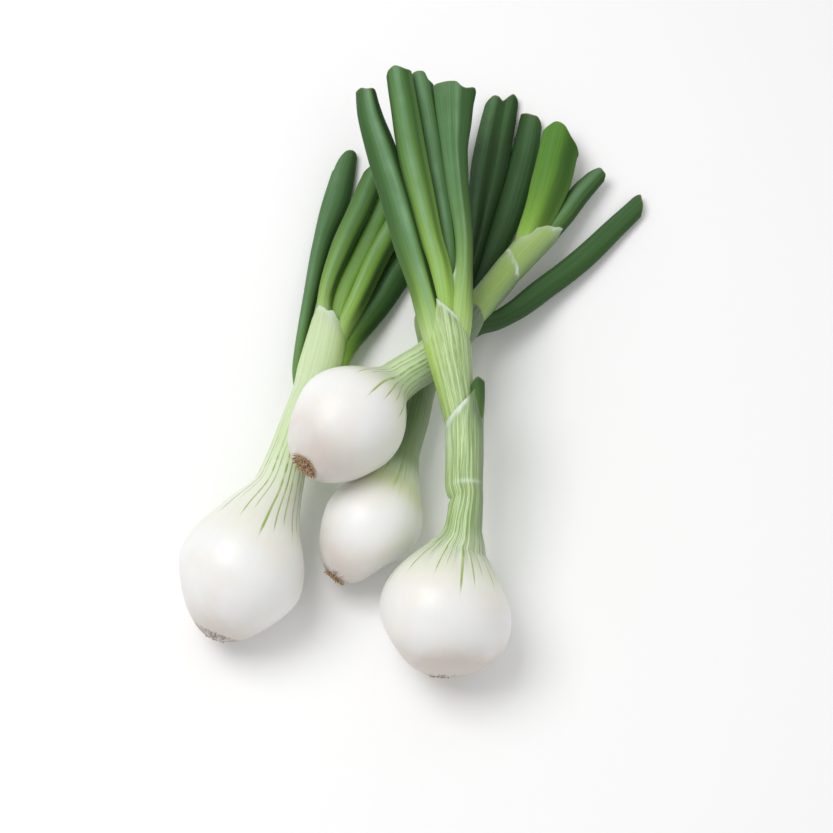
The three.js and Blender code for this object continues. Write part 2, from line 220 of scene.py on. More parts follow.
UNDER_LEAVES = {
    "leaf_1": {
        "rows": [
            (11.5, 40, 10.5, 9, 7), (15, 50, 9.7, 9, 6.6), (24.5, 84.6, 8, 8.8, 4.8),
            (27.6, 105.1, 6.5, 12.6, 4.6), (31, 125.3, 4.5, 15.8, 4.3), (33.8, 141.9, 3, 15.2, 4.2),
            (37.3, 159.8, 1.9, 14.2, 4),
        ],
        "cut": [
            (-1, -5), (-0.8, -2), (-0.5, -0.3), (-0.25, -0.4), (0, -1.8), (0.35, 0.4), (0.6, 2), (0.85, 0.6),
            (1, -3.4),
        ],
        "creases": [(-0.55, -0.3, 0.25), (0, 1.1, 0.25), (0.5, -0.3, 0.25)],
        "bands": [(-0.5, 0.3, 0.4), (0, 0.2, -0.6), (0.4, 0.25, 0.25), (0.9, 0.3, -0.9)], "fresh": (-1, 50),
        "tone": -0.45,
    },
    "leaf_2": {
        "rows": [
            (14, 40, 9.5, 8, 6), (19, 49, 8.4, 7.4, 5.6), (32.2, 83.5, 6, 11.6, 4.6),
            (38.3, 101.5, 4.8, 12.6, 4.4), (44.1, 124.3, 3.4, 11.6, 4.2), (49.5, 150, 2.2, 10, 4),
        ],
        "cut": [(-1, 0.4), (-0.3, 0.2), (0.3, 0), (0.7, -1.6), (1, -4.6)], "creases": [(0.1, 0.5, 0.4)],
        "bands": [(-0.1, 0.4, 0.2), (0.9, 0.3, -0.4), (-0.9, 0.35, -0.6)], "fresh": (-0.9, 40), "tone": -0.4,
    },
}

RIGHT_ONION = {
    "bulb": ((8.4, -105.2, 14.2), (9.9, -84.8, 22.9), 24.3, 3.4, 33), "full": (1.72, 2, 1.9),
    "stem": [
        (14.6, -63, 28.5, 15.6, 15.4), (15.8, -59, 30, 15.6, 15.2), (16.7, -53, 32, 15, 14.4),
        (18.1, -44, 34, 12.8, 12.4), (17.5, -39, 35, 14, 13), (17.8, -27, 37, 14.2, 13),
        (17.8, -15.5, 38.9, 14.5, 13.4), (18.6, -7, 39.6, 14, 13.4), (19.4, 2.5, 39.8, 13, 13),
    ],
    "mouth": (8.75, 350, 0.04), "rim": [(35, 1.2, 22)],
    "lumps": [
        (-13, 190, -3, 10, 50), (-14, 355, 3.2, 9, 50), (27, 180, -1, 6, 55), (35, 180, -1.2, 4.5, 50),
        (43.2, 185, -0.7, 1.6, 50), (48.3, 95, 0.25, 0.8, 45),
    ],
    "green": (9, 35, 3), "tone": 0.05, "streaks": (1.3, -0.02, 0.8), "calm": (0.5, 64), "film": 0.95,
    # the right onion's root end is darkened further with painted shade
    "scar": (0.9, 2.4), "root_shade": 1.6, "blush": (15, 8, 0.3), "tuft": 0.5,
    "tints": [(2, 40, 13, 42, -2.4), (38, 10, 46, 44, -1), (12, 170, 14, 44, 0.35)],
    "pale": [(22, 160, 9, 26, 0.5), (41.5, 75, 0.8, 40, 0.7)],
    "sheaths": [
        {
            "rows": [
                (17.8, -27, 36.8, 12.2, 11.2), (17, -15.5, 38.2, 12.4, 11.4), (15, -3.5, 39.3, 13.6, 11.8),
                (11.8, 17, 41, 17.8, 12), (9.8, 31, 41.3, 19.4, 11), (9, 41, 41.2, 18.2, 10.2),
            ],
            "mouth": (9.6, 172, 0.1), "tone": 0, "streaks": (1, 0.1, 0.6), "film": 0.55,
            "tints": [(6, 166, 30, 46, 1.1), (45, 168, 26, 42, 0.7), (30, 8, 30, 40, -0.5)],
            "pale": [(1, 70, 2, 60, 0.5)],
        },
    ],
    "leaves": RIGHT_LEAVES,
}

LEFT_ONION = {
    "bulb": ((-74.2, -90, 12.6), (-64.6, -68.6, 21.9), 23.2, 3.2, 38), "full": (1.5, 2, 1.85),
    "stem": [
        (-57.4, -50, 24.6, 21, 20), (-52.2, -37, 25.2, 19.6, 18), (-48.6, -20.5, 23, 15, 14.6),
        (-44.8, -4, 20, 13.8, 13.6), (-41, 9, 17, 14.6, 13), (-38, 22, 14, 17, 12.6),
        (-35.8, 35, 12.5, 16, 12), (-34.8, 44, 12, 14, 11), (-34.4, 50, 12, 12.6, 10.4),
    ],
    "mouth": (5, 170, 0.1),
    "lumps": [
        (-6, 30, 0.5, 12, 50), (-10, 150, -0.5, 10, 60), (-2, 175, 0.8, 14, 60), (-13, 355, -0.4, 9, 50),
        (22, 0, -1.6, 12, 50),
    ],
    "green": (13, 58, 8), "tone": 0, "streaks": (0.3, 0.43, 0.75), "calm": (0.8, 84), "torn": 0.9,
    "rim": [(75, 1.8, 14)], "film": 0.5, "scar": (1.7, 3.4), "blush": (18, 9, 0.25), "tuft": 0.45,
    "tints": [(10, 8, 24, 44, 0.9), (60, 10, 30, 44, 0.6), (102, 8, 16, 46, -1.4), (6, 165, 16, 44, 0.3)],
    "pale": [(4, 75, 7, 20, 0.55)],
    "sheaths": [],
    "leaves": LEFT_LEAVES,
}

TOP_ONION = {
    "bulb": ((-40.5, -36.5, 47.5), (-25.6, -18, 44), 21.3, 4.6, 30), "full": (1.65, 2, 1.8),
    "stem": [
        (-13.6, -1.9, 37, 16.5, 16.5), (-8.9, 3.7, 34.5, 16.6, 16), (-4.6, 8.7, 32, 15.8, 14.8),
        (4, 17, 28.5, 15.4, 13.6), (15, 30, 25.5, 14.2, 12.6), (22.4, 41.8, 22.4, 12.8, 12),
    ],
    "mouth": (2.6, 115, 0.04),
    "lumps": [(-4, 120, 0.4, 12, 50), (4, 250, 0.4, 10, 60), (-9, 185, -1.2, 9, 50), (-4, 355, -1.7, 10, 50)],
    "green": (6, 30, -2), "tone": 0, "streaks": (0.65, 0.4, 0.75), "calm": (1, 34), "film": 0.12,
    "scar": (0.5, 3), "blush": (12, 7, 0.3), "tuft": 1,
    "tints": [(4, 90, 9, 130, -1.7), (24, 350, 26, 56, -1), (62, 310, 16, 60, -1), (30, 170, 26, 40, 0.3)],
    "sheaths": [
        {
            "rows": [
                (15, 30, 25.5, 12.8, 11.4), (27.5, 50, 20.5, 11.8, 11), (34, 60, 18.3, 12.2, 10.8),
                (41, 71, 16, 12.6, 10.4),
            ],
            "mouth": (5, 170, 0.05), "torn": 1.3, "tone": 0.5, "streaks": (0.4, -0.42, 0.3), "film": 0.6,
            "tints": [(25, 170, 40, 34, -0.9), (10, 5, 25, 38, -1.2)], "pale": [(0, 70, 5, 60, 0.55)],
        },
        {
            "rows": [
                (27.5, 50, 20.3, 10.6, 9.8), (37.5, 65.5, 17, 11.4, 9.8), (44.9, 76, 15, 13.2, 9.8),
                (51, 84, 13.8, 13.2, 9.4), (55, 89.6, 12.8, 12, 8.8),
            ],
            "mouth": (6, 355, 0.1), "torn": 1.6, "tone": 0.5, "streaks": (0.4, -0.35, 0.3), "film": 0.5,
            "tints": [(12, 5, 24, 38, -1), (14, 165, 12, 30, -0.6)],
            "pale": [(11, 118, 8, 26, 0.5), (1, 80, 5, 70, 0.55)],
        },
    ],
    "leaves": TOP_LEAVES,
}

UNDER_ONION = {
    "bulb": ((-30.4, -66.4, 14.4), (-17.3, -48, 18.1), 18.5, 3.2, 29), "full": (1.6, 2, 1.8),
    "stem": [
        (-9.5, -30.6, 18, 15.4, 15.4), (-7.7, -24, 17, 16.8, 16), (-5.2, -14.2, 15.5, 13.5, 13.4),
        (-1.7, 0.1, 13.5, 13.3, 12.6), (1.4, 14.2, 12.5, 12.8, 11.6), (7.3, 31.5, 11.5, 14, 11),
        (9.2, 45.5, 10.5, 20.1, 10.6), (12.7, 58.1, 10, 17.4, 8.6),
    ],
    "mouth": (4, 30, 0.25),
    "lumps": [
        (-5, 60, 0.5, 12, 40), (-2, 0, 0.4, 12, 40), (-9, 345, -1.8, 8, 50), (-13, 310, -2.8, 8, 50),
        (-6, 355, -1.3, 9, 50),
    ],
    "green": (9, 31, 9), "tone": -0.45, "streaks": (0.5, 0, 0.45), "film": 0.2, "scar": (0.8, 3),
    "blush": (15, 6, 0.9), "tuft": 0.9,
    "tints": [(52, 60, 32, 130, -0.5), (98, 80, 10, 120, 0.9), (76, 162, 24, 48, -1)],
    "sheaths": [],
    "leaves": UNDER_LEAVES,
}

ONIONS = {"right": RIGHT_ONION, "left": LEFT_ONION, "top": TOP_ONION, "under": UNDER_ONION}

# ---- measures ----

MM = 0.001
BUNCH_CENTRE = (3.8, 26, 0)
TABLE = 0
CURVE_STEPS = 40  # points from each row of a line to the next
LEAST_GAP = 0.0001  # rows nearer than this count as one
STEM_SIDES = 128
LEAF_SIDES = 64
RING_STEP = 0.9  # spacing of the rings along stems and leaves
BULB_RINGS = 46
HOLLOW_RINGS = 8
UNDERSIDE = -math.pi / 2
GRAIN_RUN = 100  # distance along a piece in which its grain runs on by one

HUG_REACH = 7  # stretch over which a mouth draws in around what it wraps
MOUTH_DEPTH = 7  # how far down inside a mouth its wall goes
MOUTH_START = 0.2  # where that wall starts below the edge
TORN = 0.35  # height of the tearing at a mouth
TEARS = (5, 9, 14)  # tears round a mouth, from the longest to the shortest
CALM_FADE = 30  # stretch over which the veins fade towards a mouth
LEAST_GIRTH = 3  # least distance from the middle of a piece that the width of a vein is worked out with
LIP_ROUND = 0.25  # how far the lip of a mouth rounds out, in shares of its wall
UNEVEN_ROUNDS = (1, 2, 3, 4, 5)  # lumps round a piece
UNEVEN_WAVES = (45, 90)  # lengths of its lumps along it
UNEVEN_TWIST = 0.4  # how far they wind round it
BULB_UNEVEN = 0.45
LEAST_UNEVEN = 0.25  # share of it that is left at the root plate
SHEATH_UNEVEN = 0.12
ROOT_SWELL = 6  # stretch over which a bulb becomes uneven
ROOT_SINK = 1.5
ROOT_HOLLOW = ((ROOT_SINK, 0.9), (ROOT_SINK * 0.9, 0.5), (0.5, 0.35), (0.1, 0.15))  # depth, gap to the rim
ROOT_FLOOR = 0.5  # depth of the root plate below the bulb's end
PLATE_GAP = 0.3  # from the plate of the roots to the rim of its hollow
# The root-end tint is partly painted shade.
ROOT_END_START = 0.2  # where the tint of the root end starts, in shares of the way from the centre
SHEATH_VEINS = 60  # how far past their start the veins of an inner sheath are
SEEDS_EACH = 10  # seeds kept for the pieces of each onion
SHEATH_GRAIN, LEAF_GRAIN = 37, 53  # shifts that give each piece its own grain

CUT_REACH = 14  # stretch over which a leaf takes up the shape of its cut
CUT_STEPS = 81
LEAF_SWAY = 0.35  # how far a leaf strays sideways from its line
LEAF_UNEVEN = 0.15
LEAF_UNEVEN_SEED = 50
CREASE_RISE, UNEVEN_RISE, SWAY_RISE = 2, 3, 4  # how soon each sets in along a leaf
CUT_ROUND = 0.3  # length over which the edge of the cut rounds off
CUT_LIP = ((0.08, 0.12), (0, 0.5), (0.08, 0.88))  # back from the end, share of the wall
SHEATHED = 14  # how much of a leaf its sheath hides
FRESH_FALL = 1.4  # how fast the fresh base ends
BAND_START, BAND_FADE = 6, 30  # where the bands start on a leaf, and over what stretch they come up
BAND_BELOW = 0.4  # share of the bands that the underside shows
UNDER_TURN = -0.3  # sine of the turn below which the underside starts
FLAP_SPREAD, FLAP_START, FLAP_STOP = 9, 8, 10  # degrees round, and the stretches where it comes and goes
FLAP_FILM_SPREAD, FLAP_FILM_START, FLAP_FILM_STOP = 16, 6, 8  # the same for its whitish film
FLAP_FILM_PAST = 2  # how far the film runs on past the flap

# The stage, in metres. A lamp has its place, from which it shines on the middle, and its size.
TABLE_REACH = 4
TABLE_DROP = 0.0001  # keeps the table just clear of what lies on it
TABLE_CLOUDS = (0.88, 0.88, 0.88)
LAMPS = {"key": ((-0.42, 0.08, 0.92), 0.6), "fill": ((0.6, -0.5, 0.7), 0.9)}
SENSOR_WIDTH = 36  # millimetres, as the next
AIM_HEIGHT = 15


# ---- shapes ----


def smooth(x):
    x = np.clip(x, 0, 1)
    return x * x * (3 - 2 * x)


def globe(x, full):
    return (1 - np.clip(x, 0, 1) ** full) ** (1 / full)


def bell(x, full, landing):
    """Falls from one to nothing: round at its top and level again where it ends."""
    return (1 - np.clip(x, 0, 1) ** full) ** landing


def hump(x, reach):
    return np.exp(-((x / reach) ** 2))


def turned_from(turn, degrees):
    """How far each turn is from a direction, in degrees either way."""
    return (np.degrees(turn) - degrees + 180) % 360 - 180


def row_gap(start, end, otherwise):
    """The root of the distance between two rows, which sets the pace of the curve through them."""
    gap = np.sqrt(np.linalg.norm(end - start))
    return gap if gap > LEAST_GAP else otherwise


def curve_through(points):
    """Points along a smooth curve through the given ones, CURVE_STEPS from each to the next."""
    p = np.vstack([2 * points[0] - points[1], points, 2 * points[-1] - points[-2]])
    share = np.linspace(0, 1, CURVE_STEPS, endpoint=False)[:, None]
    parts = []
    for p0, p1, p2, p3 in zip(p, p[1:], p[2:], p[3:]):
        gap = row_gap(p1, p2, 1)
        before, after = row_gap(p0, p1, gap), row_gap(p2, p3, gap)
        leave = ((p1 - p0) / before - (p2 - p0) / (before + gap) + (p2 - p1) / gap) * gap
        arrive = ((p2 - p1) / gap - (p3 - p1) / (gap + after) + (p3 - p2) / after) * gap
        square = -3 * p1 + 3 * p2 - 2 * leave - arrive
        cube = 2 * p1 - 2 * p2 + leave + arrive
        parts.append(p1 + leave * share + square * share**2 + cube * share**3)
    return np.vstack([*parts, points[-1:]])


class Line:
    """A centre line through rows of place, width and height, read by the distance from its start."""

    def __init__(self, rows):
        rows = np.array(rows, float)
        self.place = curve_through(rows[:, :3])
        self.size = curve_through(rows[:, 3:])
        step = np.linalg.norm(np.diff(self.place, axis=0), axis=1)
        self.run = np.concatenate([[0], np.cumsum(step)])
        self.length = self.run[-1]
        self.along = np.gradient(self.place, self.run, axis=0)

    def read(self, table, s):
        return np.stack([np.interp(s, self.run, column) for column in table.T], -1)

    def at(self, s):
        """The place at each distance, the directions along, sideways and up there, and the size."""
        along = self.read(self.along, s)
        along /= np.linalg.norm(along, axis=-1, keepdims=True)
        side = np.cross(along, (0, 0, 1))
        side /= np.linalg.norm(side, axis=-1, keepdims=True)
        beyond = (s - np.clip(s, 0, self.length))[..., None]
        place = self.read(self.place, s) + along * beyond
        return place, along, side, np.cross(side, along), self.read(self.size, s)


def turns(sides):
    return (UNDERSIDE + 2 * math.pi * np.arange(sides) / sides)[None]


def new_object(name, data):
    made = bpy.data.objects.new(name, data)
    bpy.context.scene.collection.objects.link(made)
    return made


def closed_mesh(name, rings, turn, grain_start, marks):
    """One closed body from rings of points in millimetres, with its first and last ring drawn to a point.

    The map "Grown" runs once round from the underside and along in steps of a millimetre. The attribute
    "grain" runs round without a seam and slowly along, for streaks and fibres. Marks are for the finish.
    """
    count, sides = rings.shape[:2]
    points = np.vstack([rings.reshape(-1, 3), rings[0].mean(0), rings[-1].mean(0)])
    points[:, 2] = np.maximum(points[:, 2], TABLE)
    ring, side = np.meshgrid(np.arange(count - 1), np.arange(sides), indexing="ij")
    after = (side + 1) % sides
    here, beyond = ring * sides, (ring + 1) * sides
    quads = np.stack([here + side, beyond + side, beyond + after, here + after], -1).reshape(-1, 4)
    j = np.arange(sides)
    k = (j + 1) % sides
    first, last = count * sides, (count - 1) * sides
    first_cap = np.stack([np.full(sides, first), j, k], -1)
    last_cap = np.stack([np.full(sides, first + 1), last + k, last + j], -1)
    mesh = bpy.data.meshes.new(name)
    centred = (points - np.array(BUNCH_CENTRE)) * MM
    mesh.from_pydata(centred.tolist(), [], [*quads.tolist(), *first_cap.tolist(), *last_cap.tolist()])
    mesh.polygons.foreach_set("use_smooth", np.ones(len(mesh.polygons), bool))

    run = np.concatenate([[0], np.cumsum(np.linalg.norm(np.diff(rings.mean(1), axis=0), axis=1))])
    u = [np.stack([side, side, side + 1, side + 1], -1) / sides]
    u += [np.stack(trio, -1) / sides for trio in ((j + 0.5, j, j + 1), (j + 0.5, j + 1, j))]
    v = [np.stack([run[ring], run[ring + 1], run[ring + 1], run[ring]], -1)]
    v += [np.full((sides, 3), value) for value in (0, run[-1])]
    corners = [np.stack(pair, -1).reshape(-1, 2) for pair in zip(u, v)]
    layer = mesh.uv_layers.new(name="Grown")
    layer.uv.foreach_set("vector", np.vstack(corners).astype(np.float32).ravel())

    def set_mark(key, kind, field, values):
        ends = [values[index].mean(0).reshape(1, -1) for index in (0, -1)]
        values = np.vstack([values.reshape(count * sides, -1), *ends])
        mesh.attributes.new(key, kind, "POINT").data.foreach_set(field, values.astype(np.float32).ravel())

    along = np.broadcast_to(grain_start / GRAIN_RUN, turn.shape)
    set_mark("grain", "FLOAT_VECTOR", "vector", np.stack([np.cos(turn), np.sin(turn), along], -1))
    for key, values in marks.items():
        set_mark(key, "FLOAT", "value", values)
    mesh.update()
    return new_object(name, mesh)


def settle(piece, material, slot, *nodes):
    """Gives a finished piece its finish and the body it rides on, and hides the imported nodes it stands for.
    """
    if not piece.data.materials:
        piece.data.materials.append(material)
    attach(piece, "root")
    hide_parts(*nodes)


def uneven(seed, turn, s, height):
    """Slow unevenness of something grown, up to about the given height."""
    draw = np.random.default_rng(seed)
    total = 0
    for rounds in UNEVEN_ROUNDS:
        for wave in UNEVEN_WAVES:
            phase, shift = draw.uniform(0, 2 * math.pi, 2)
            swing = 2 * math.pi * s / wave + shift
            lumps = np.cos(rounds * turn + phase + UNEVEN_TWIST * np.sin(swing))
            total = total + lumps * np.cos(swing) / (1 + rounds)
    return total * height / 2


# ---- bulbs, stems and sheaths ----


def mouth_edge(length, sheath, turn, seed):
    """Where along its line a sheath ends at each turn: an oblique cut with a slightly torn edge."""
    slope, highest, _ = sheath["mouth"]
    draw = np.random.default_rng(seed)
    torn = sum(np.cos(k * turn + draw.uniform(0, 6)) / k for k in TEARS) * sheath.get("torn", TORN)
    for degrees, height, spread in sheath.get("rim", ()):
        torn = torn + height * hump(turned_from(turn, degrees), spread)
    return length - slope * (1 - np.cos(turn - math.radians(highest))) + torn


def patches(spots, s, turn):
    """The sum of soft spots, each a distance, a turn in degrees, its reach, its spread and an amount."""
    total = np.zeros(s.shape)
    for far, degrees, reach, spread, amount in spots:
        total = total + amount * hump(s - far, reach) * hump(turned_from(turn, degrees), spread)
    return total


def sheath_marks(sheath, length, edge, s, turn, rings):
    """Values for the finish that the outer skin and the inner sheaths have alike."""
    contrast, light, veins = sheath["streaks"]
    calm, calm_reach = sheath.get("calm", (0, 1))
    back = length - s
    return {
        "mouth_gap": np.maximum(edge - s, 0),
        "tint": sheath["tone"] + patches(sheath.get("tints", ()), back, turn),
        "pale": patches(sheath.get("pale", ()), back, turn),
        "film": np.full(back.shape, sheath["film"]),
        "contrast": np.full(back.shape, contrast),
        "light": np.full(back.shape, light),
        "veins": veins * (1 - calm * smooth((calm_reach - back) / CALM_FADE)),
        "girth": np.maximum(np.linalg.norm(rings - rings.mean(1, keepdims=True), axis=-1), LEAST_GIRTH),
    }


def bulb_girth(onion, s, turn, size, seed):
    """Half the width of the bulb and its stem at a distance along the line, uneven as it grew."""
    root, centre, radius, plate, top = onion["bulb"]
    root_length = math.dist(root, centre)
    ahead = s - root_length
    below = plate + (radius - plate) * globe(-ahead / root_length, onion["full"][0])
    above = size / 2 + (radius - size / 2) * bell(ahead / top, *onion["full"][1:])
    girth = np.where(ahead < 0, below, above)
    for far, degrees, height, reach, spread in onion["lumps"]:
        girth = girth + height * hump(ahead - far, reach) * hump(turned_from(turn, degrees), spread)
    share = smooth(s / ROOT_SWELL)
    return girth + uneven(seed, turn, s, BULB_UNEVEN) * share * np.clip(girth / radius, LEAST_UNEVEN, 1)


def skin_walls(line, girths, edge, turn, outer, wall, hug_share):
    """Rings over the outside of a sheath, round its mouth and down inside it, and their distances along."""

    def rings_at(s, inset):
        place, along, side, up, size = line.at(s)
        hug = 1 - hug_share * smooth((s - edge + HUG_REACH) / HUG_REACH)
        across, lift = (girths(s, size[..., axis]) * hug - inset for axis in (0, 1))
        ring = place + side * (across * np.cos(turn))[..., None] + up * (lift * np.sin(turn))[..., None]
        return ring, along[-1], (side * np.cos(turn)[..., None] + up * np.sin(turn)[..., None])[-1]

    skin, along, outward = rings_at(outer, 0)
    lip = skin[-1] + along * LIP_ROUND * wall - outward * wall / 2
    down = edge - np.linspace(MOUTH_START, MOUTH_DEPTH, HOLLOW_RINGS)[:, None]
    return np.concatenate([skin, lip[None], rings_at(down, wall)[0]]), np.concatenate([outer, edge, down])


def build_bulb(name, onion, seed, sizes):
    """The bulb, its neck and the outermost sheath as one skin, with a hollow for the roots."""
    root, centre, _, plate, top = onion["bulb"]
    core = onion["stem"][0][3:]
    line = Line([(*root, *core), (*centre, *core), *onion["stem"]])
    root_length = math.dist(root, centre)
    bulb_end = root_length + top
    turn = turns(STEM_SIDES)
    edge = mouth_edge(line.length, onion, turn, seed)
    below = root_length * (1 - np.cos(np.linspace(0, math.pi / 2, BULB_RINGS)))
    above = root_length + top * np.linspace(0, 1, BULB_RINGS)[1:]
    share = np.linspace(0, 1, int((line.length - bulb_end) / RING_STEP))[1:, None]
    bulb_stops = np.repeat(np.concatenate([below, above])[:, None], STEM_SIDES, 1)
    outer = np.vstack([bulb_stops, bulb_end + (edge - bulb_end) * share])

    def girths(s, size):
        return bulb_girth(onion, s, np.broadcast_to(turn, s.shape), size, seed)

    rings, s = skin_walls(line, girths, edge, turn, outer, sizes.sheath_wall / MM, onion["mouth"][2])
    place, along, side, up, _ = line.at(np.array([0.0]))
    around = side * np.cos(turn[0])[:, None] + up * np.sin(turn[0])[:, None]
    hollow = [place + along * depth + around * (plate - inset) for depth, inset in ROOT_HOLLOW]
    rings = np.concatenate([np.array(hollow), rings])
    s = np.vstack([np.zeros((len(hollow), STEM_SIDES)), s])
    turn = np.broadcast_to(turn, s.shape)
    ahead = s - root_length
    back = -ahead / root_length
    start, stop, veins_start = onion["green"]
    scar, scar_reach = onion["scar"]
    blush_far, blush_reach, blush = onion["blush"]
    marks = {
        "fan": ahead - veins_start,
        "green": smooth((ahead - start) / (stop - start)),
        # Tint of the root end, partly painted shade: darker towards the bulb's lower end, strongest on the
        # right onion.
        "root_end": onion.get("root_shade", 1) * smooth((back - ROOT_END_START) / (1 - ROOT_END_START)),
        "scar": scar * hump(s, scar_reach),
        "blush": blush * hump(ahead - blush_far, blush_reach),
        **sheath_marks(onion, line.length, edge, s, turn, rings),
    }
    return closed_mesh(f"{name}_bulb_and_stem", rings, turn, s, marks)


def build_sheath(name, sheath, seed, sizes):
    """An inner sheath of the stem, from under the one outside it to its own oblique mouth."""
    line = Line(sheath["rows"])
    turn = turns(STEM_SIDES)
    edge = mouth_edge(line.length, sheath, turn, seed)
    outer = edge * np.linspace(0, 1, int(line.length / RING_STEP))[:, None]

    def girths(s, size):
        return size / 2 + uneven(seed, np.broadcast_to(turn, s.shape), s, SHEATH_UNEVEN)

    rings, s = skin_walls(line, girths, edge, turn, outer, sizes.sheath_wall / MM, sheath["mouth"][2])
    turn = np.broadcast_to(turn, s.shape)
    marks = {
        "fan": s + SHEATH_VEINS,
        "green": np.ones(s.shape),
        **sheath_marks(sheath, line.length, edge, s, turn, rings),
    }
    return closed_mesh(name, rings, turn, s + SHEATH_GRAIN * seed, marks)


# ---- leaves ----


def leaf_section(leaf, line, s, turn, inset, seed):
    """Points of a flattened, creased leaf at each distance along its line."""
    place, along, side, up, size = line.at(s)
    x, z = np.cos(turn), np.sin(turn)
    share = np.clip(s / line.length, 0, 1)
    across = x * (size[..., 0] / 2 - inset)
    lift = z * (size[..., 1] / 2 - inset)
    for at, depth, width in leaf["creases"]:
        lift = lift - depth * smooth(share * CREASE_RISE) * hump(x - at, width) * np.maximum(z, 0)
    lift = lift + uneven(seed + LEAF_UNEVEN_SEED, turn, s, LEAF_UNEVEN) * smooth(share * UNEVEN_RISE)
    if "flap" in leaf:
        degrees, start, stop, height = leaf["flap"]
        grown = smooth((s - start) / FLAP_START) * smooth((stop - s) / FLAP_STOP)
        across = across + x * height * (grown * hump(turned_from(turn, degrees), FLAP_SPREAD))
    across = across + uneven(seed, turn * 0, s, LEAF_SWAY) * smooth(share * SWAY_RISE)
    outline = curve_through(np.array(leaf["cut"], float))
    steps = np.linspace(-1, 1, CUT_STEPS)
    forward = np.interp(x, steps, np.interp(steps, *outline.T))
    forward = forward * smooth((s - line.length + CUT_REACH) / CUT_REACH)
    return place + side * across[..., None] + up * lift[..., None] + along * forward[..., None]


def fading(amount, reach, s):
    """A mark that is strongest where the leaf leaves its sheath, and fades along it."""
    return amount * np.exp(-((np.maximum(s - SHEATHED, 0) / reach) ** FRESH_FALL))


def build_leaf(name, leaf, seed, sizes):
    """A cut leaf as a flattened tube: outside, round its cut edge and down its hollow."""
    line = Line(leaf["rows"])
    length, wall = line.length, sizes.leaf_wall / MM
    outer = np.linspace(0, length - CUT_ROUND, int(length / RING_STEP))
    lip = np.array([length - back for back, _ in CUT_LIP])
    down = length - CUT_ROUND - np.linspace(0, sizes.hollow_depth / MM, HOLLOW_RINGS)
    insets = [0] * len(outer) + [share * wall for _, share in CUT_LIP] + [wall] * HOLLOW_RINGS
    s = np.repeat(np.concatenate([outer, lip, down])[:, None], LEAF_SIDES, 1)
    turn = np.broadcast_to(turns(LEAF_SIDES), s.shape)
    rings = leaf_section(leaf, line, s, turn, np.array(insets)[:, None], seed)
    # Bands: bloom with a painted highlight above zero, painted shade below it.
    band = np.zeros(s.shape)
    for at, width, tone in leaf["bands"]:
        band = band + tone * hump(np.cos(turn) - at, width) * smooth((s - BAND_START) / BAND_FADE)
    inside = np.zeros(s.shape)
    inside[len(outer) + 1 :] = 1
    marks = {
        "fresh": fading(*leaf["fresh"], s),
        "foot": fading(*leaf.get("foot", (0, 1)), s),
        "band": np.where(np.sin(turn) > UNDER_TURN, band, band * BAND_BELOW),
        "cut_gap": length - s,
        "inside": inside,
        "tone": np.full(s.shape, leaf["tone"]),
    }
    if "flap" in leaf:
        degrees, start, stop, _ = leaf["flap"]
        ends = smooth((s - start) / FLAP_FILM_START) * smooth((stop + FLAP_FILM_PAST - s) / FLAP_FILM_STOP)
        marks["film"] = ends * hump(turned_from(turn, degrees), FLAP_FILM_SPREAD)
    return closed_mesh(name, rings, turn, s + LEAF_GRAIN * seed, marks)


# ---- finishes ----

LINE_DRIFT = 0.36  # share of a lane by which its line may be off its middle
VEIN_WANDER = 0.9  # lanes that the veins sway to and fro
VEIN_STAGGER = 13.0  # stretch over which one vein after the other starts


class Nodes:
    """A node tree under construction: each call adds a node and gives back its result."""

    def __init__(self, tree):
        self.tree = tree

    def add(self, kind, inputs=None, output=0, **settings):
        node = self.tree.nodes.new(kind)
        for key, value in settings.items():
            setattr(node, key, value)
        for key, value in (inputs or {}).items():
            self.give(node.inputs[key], value)
        return node.outputs[output]

    def give(self, socket, value):
        if isinstance(value, bpy.types.NodeSocket):
            self.tree.links.new(value, socket)
        elif socket.type == "RGBA" and len(value) == 3:
            socket.default_value = (*value, 1)
        else:
            socket.default_value = value

    def maths(self, operation, a, b=0.0):
        return self.add("ShaderNodeMath", {0: a, 1: b}, operation=operation)

    def plus(self, a, b):
        return self.maths("ADD", a, b)

    def less(self, a, b):
        return self.maths("SUBTRACT", a, b)

    def times(self, a, b):
        return self.maths("MULTIPLY", a, b)

    def above_zero(self, a):
        return self.maths("MAXIMUM", a)

    def below_zero(self, a):
        return self.above_zero(self.times(a, -1.0))

    def vector(self, operation, a, b):
        return self.add("ShaderNodeVectorMath", {0: a, 1: b}, operation=operation)

    def scaled(self, a, scale):
        return self.add("ShaderNodeVectorMath", {0: a, "Scale": scale}, operation="SCALE")

    def part(self, vector, axis):
        return self.add("ShaderNodeSeparateXYZ", {"Vector": vector}, axis)


